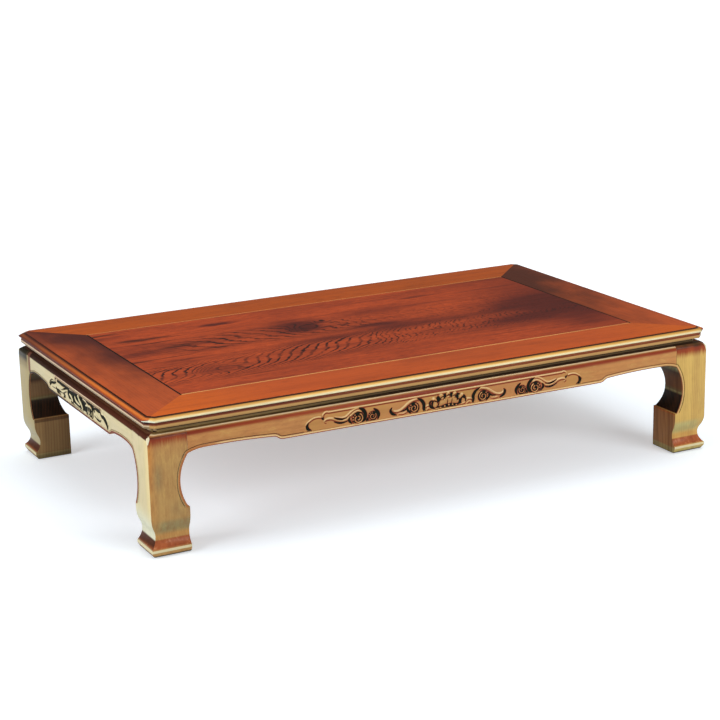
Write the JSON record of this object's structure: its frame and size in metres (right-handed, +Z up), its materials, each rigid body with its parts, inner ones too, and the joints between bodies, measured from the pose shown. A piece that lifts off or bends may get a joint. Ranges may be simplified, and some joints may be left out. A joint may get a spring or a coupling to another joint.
{
  "type": "low table",
  "caption": "Low rectangular timber table with a framed panel top, moulded edge, recessed neck, shaped and carved aprons and square legs with curved inner sides and flared feet.",
  "frame": {"origin": "on the floor under the centre of the top", "axes": "+X along the length, +Y from front to back, +Z up"},
  "size_m": [1.5, 0.9, 0.32],
  "materials": {
    "figured_panel": "clear gloss over red-brown figured timber",
    "rail_timber": "clear gloss over red-brown timber",
    "base_timber": "clear gloss over tan timber",
    "neck_timber": "satin, dark brown",
    "inner_timber": "plain planed timber",
    "screw_steel": "zinc plated",
    "felt": "dark pressed felt"
  },
  "bodies": {
    "root": {"apron_back": "base_timber", "apron_front": "base_timber", "apron_left": "base_timber", "apron_right": "base_timber", "button_screws": "screw_steel", "corner_block_back_left": "inner_timber", "corner_block_back_right": "inner_timber", "corner_block_front_left": "inner_timber", "corner_block_front_right": "inner_timber", "corner_block_screws": "screw_steel", "foot_pad_back_left": "felt", "foot_pad_back_right": "felt", "foot_pad_front_left": "felt", "foot_pad_front_right": "felt", "leg_back_left": "base_timber", "leg_back_right": "base_timber", "leg_front_left": "base_timber", "leg_front_right": "base_timber", "mitre_spline_back_left": "inner_timber", "mitre_spline_back_right": "inner_timber", "mitre_spline_front_left": "inner_timber", "mitre_spline_front_right": "inner_timber", "neck_rail_back": "neck_timber", "neck_rail_front": "neck_timber", "neck_rail_left": "neck_timber", "neck_rail_right": "neck_timber", "neck_screws": "screw_steel", "panel_batten_left": "inner_timber", "panel_batten_middle": "inner_timber", "panel_batten_right": "inner_timber", "top_buttons": "inner_timber", "top_panel": "figured_panel", "top_rail_back": "rail_timber", "top_rail_front": "rail_timber", "top_rail_left": "rail_timber", "top_rail_right": "rail_timber"}
  },
  "joints": []
}
